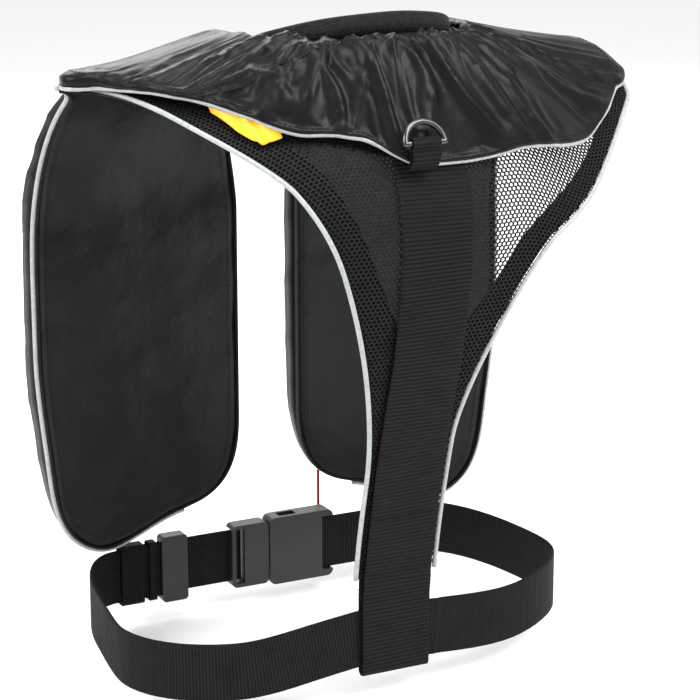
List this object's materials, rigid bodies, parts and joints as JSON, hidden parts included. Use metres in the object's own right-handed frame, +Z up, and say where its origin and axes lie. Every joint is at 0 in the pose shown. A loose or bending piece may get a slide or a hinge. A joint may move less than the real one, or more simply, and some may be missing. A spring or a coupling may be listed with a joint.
{
  "type": "inflatable life jacket",
  "caption": "Horseshoe-shaped inflatable life jacket with a packed bladder, mesh back panel, back strap and waist belt.",
  "frame": {"origin": "middle of the wearer's neck opening, level with the foot of the collar", "axes": "+Z up, the wearer faces -Y, the wearer's left is +X"},
  "size_m": [0.3952, 0.3042, 0.4489],
  "materials": {
    "cover_nylon": "glossy crinkled woven nylon",
    "lining_nylon": "dull woven nylon",
    "spacer_mesh": "open hexagonal spacer mesh",
    "neoprene": "jersey-faced neoprene",
    "binding": "knitted binding tape",
    "reflective_piping": "satin reflective cord",
    "bladder_fabric": "coated fabric, semi-gloss",
    "webbing": "ribbed woven webbing",
    "hook_tape": "hook-and-loop tape",
    "lanyard": "braided cord",
    "buckle_plastic": "moulded acetal, fine grain",
    "ring_plastic": "polished",
    "body_plastic": "moulded nylon",
    "red_plastic": "moulded",
    "clear_plastic": "frosted moulding",
    "white_plastic": "moulded",
    "whistle_plastic": "moulded",
    "steel_pin": "ground",
    "steel_bottle": "zinc plated",
    "gasket_rubber": "smooth"
  },
  "bodies": {
    "jacket": {"cover_yoke": "cover_nylon", "cover_left": "cover_nylon", "cover_right": "cover_nylon", "lining_left": "lining_nylon", "lining_right": "lining_nylon", "mesh_panel": "spacer_mesh", "collar": "neoprene", "collar_binding": "binding", "piping_cover": "reflective_piping", "piping_panel_left": "reflective_piping", "piping_panel_right": "reflective_piping", "piping_lobe_left": "reflective_piping", "piping_lobe_right": "reflective_piping", "bladder": "bladder_fabric", "back_strap": "webbing", "waist_belt": "webbing", "ring_tab": "webbing", "belt_tunnel_left": "webbing", "belt_tunnel_right": "webbing", "buckle_female": "buckle_plastic", "belt_adjuster": "buckle_plastic", "belt_keeper": "webbing", "inflator_body": "body_plastic", "lever_pin": "steel_pin", "water_cartridge": "white_plastic", "manifold_disc": "body_plastic", "manifold_gasket": "gasket_rubber", "manifold_nut": "body_plastic", "oral_stem": "body_plastic", "oral_tube": "body_plastic", "oral_valve": "red_plastic", "whistle_clip": "buckle_plastic", "closure_tape_left": "hook_tape", "closure_tape_right": "hook_tape"},
    "buckle_end": {"buckle_male": "buckle_plastic", "buckle_prongs": "buckle_plastic", "belt_tail": "webbing"},
    "ring": {"back_ring": "ring_plastic"},
    "lever": {"inflator_lever": "red_plastic"},
    "toggle": {"pull_lanyard": "lanyard", "pull_toggle": "red_plastic"},
    "bottle": {"gas_cylinder": "steel_bottle"},
    "cap": {"cartridge_cap": "clear_plastic"},
    "tube_cap": {"oral_cap": "body_plastic"},
    "poppet": {"oral_poppet": "white_plastic"},
    "whistle_body": {"whistle": "whistle_plastic"}
  },
  "joints": [
    {"name": "buckle_release", "type": "slide", "parent": "jacket", "child": "buckle_end", "axis": [1, 0, 0], "range_m": [0, 0.032], "deforming": ["buckle_prongs"]},
    {"name": "ring_swing", "type": "hinge", "parent": "jacket", "child": "ring", "pos_m": [0.01, 0.121, -0.029], "axis": [-1, 0, 0], "range_deg": [0, 130]},
    {"name": "lever_turn", "type": "hinge", "parent": "jacket", "child": "lever", "pos_m": [-0.074, -0.154, -0.24], "axis": [0, 1, 0], "range_deg": [0, 80]},
    {"name": "toggle_pull", "type": "slide", "parent": "jacket", "child": "toggle", "axis": [0, 0, -1], "range_m": [0, 0.033], "deforming": ["pull_lanyard"]},
    {"name": "bottle_unscrew", "type": "hinge", "parent": "jacket", "child": "bottle", "pos_m": [-0.107, -0.154, -0.2], "axis": [0, 0, 1], "continuous": true},
    {"name": "cap_unscrew", "type": "hinge", "parent": "jacket", "child": "cap", "pos_m": [-0.107, -0.154, -0.27], "axis": [0, 0, 1], "continuous": true},
    {"name": "tube_cap_pull", "type": "slide", "parent": "jacket", "child": "tube_cap", "axis": [0, 0, 1], "range_m": [0, 0.03]},
    {"name": "poppet_press", "type": "slide", "parent": "jacket", "child": "poppet", "axis": [0, 0, -1], "range_m": [0, 0.003], "stiffness_N_per_m": 200},
    {"name": "whistle_swing", "type": "hinge", "parent": "jacket", "child": "whistle_body", "pos_m": [0.062, -0.1533, -0.212], "axis": [0, 1, 0], "range_deg": [-20, 14]}
  ],
  "couplings": [
    {"joint": "toggle_pull", "follows": "lever_turn", "m_per_rad": 0.0236}
  ]
}
